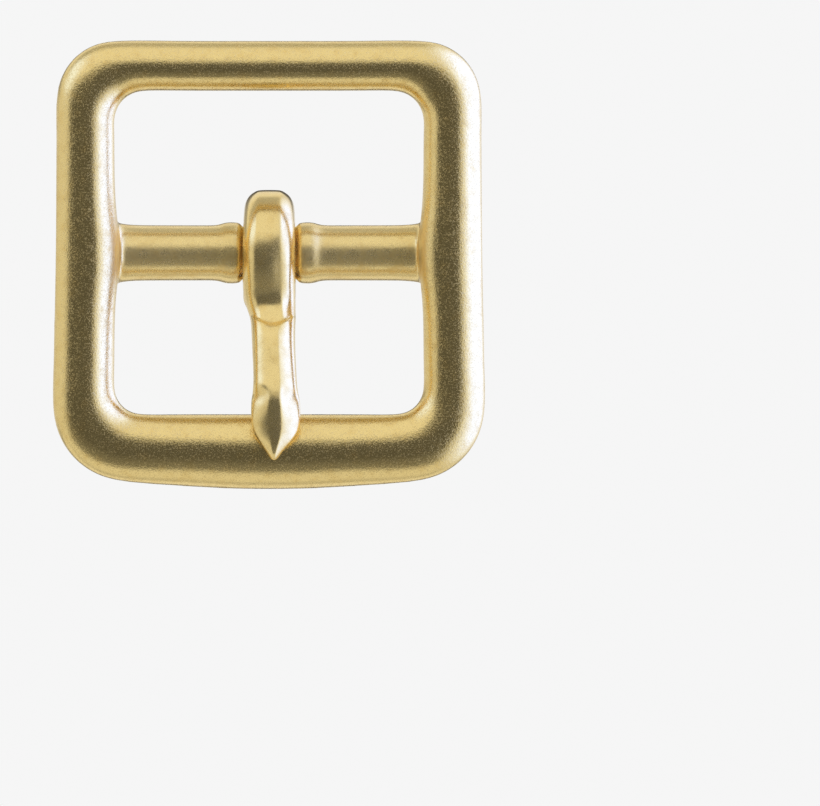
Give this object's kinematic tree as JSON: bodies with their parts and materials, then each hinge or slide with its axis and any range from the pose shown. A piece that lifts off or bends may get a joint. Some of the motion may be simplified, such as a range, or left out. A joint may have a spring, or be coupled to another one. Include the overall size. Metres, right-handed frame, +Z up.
{
  "type": "centre bar strap buckle",
  "caption": "Square cast brass strap buckle with a centre bar and a pointed tongue that swings on the bar and rests on the bottom rail.",
  "frame": {"origin": "on the axis of the centre bar, midway between the side rails", "axes": "+Z up towards the rail opposite the tongue's tip, +X along the bar, -Y out of the buckle's front"},
  "size_m": [0.0274, 0.0097, 0.0284],
  "materials": {
    "frame_brass": "tumbled and polished cast brass",
    "tongue_brass": "polished brass"
  },
  "bodies": {
    "frame": {"frame": "frame_brass"},
    "tongue": {"tongue": "tongue_brass"}
  },
  "joints": [
    {"name": "tongue_swing", "type": "hinge", "parent": "frame", "child": "tongue", "pos_m": [0, 0, 0], "axis": [-1, 0, 0], "range_deg": [0, 126]}
  ]
}
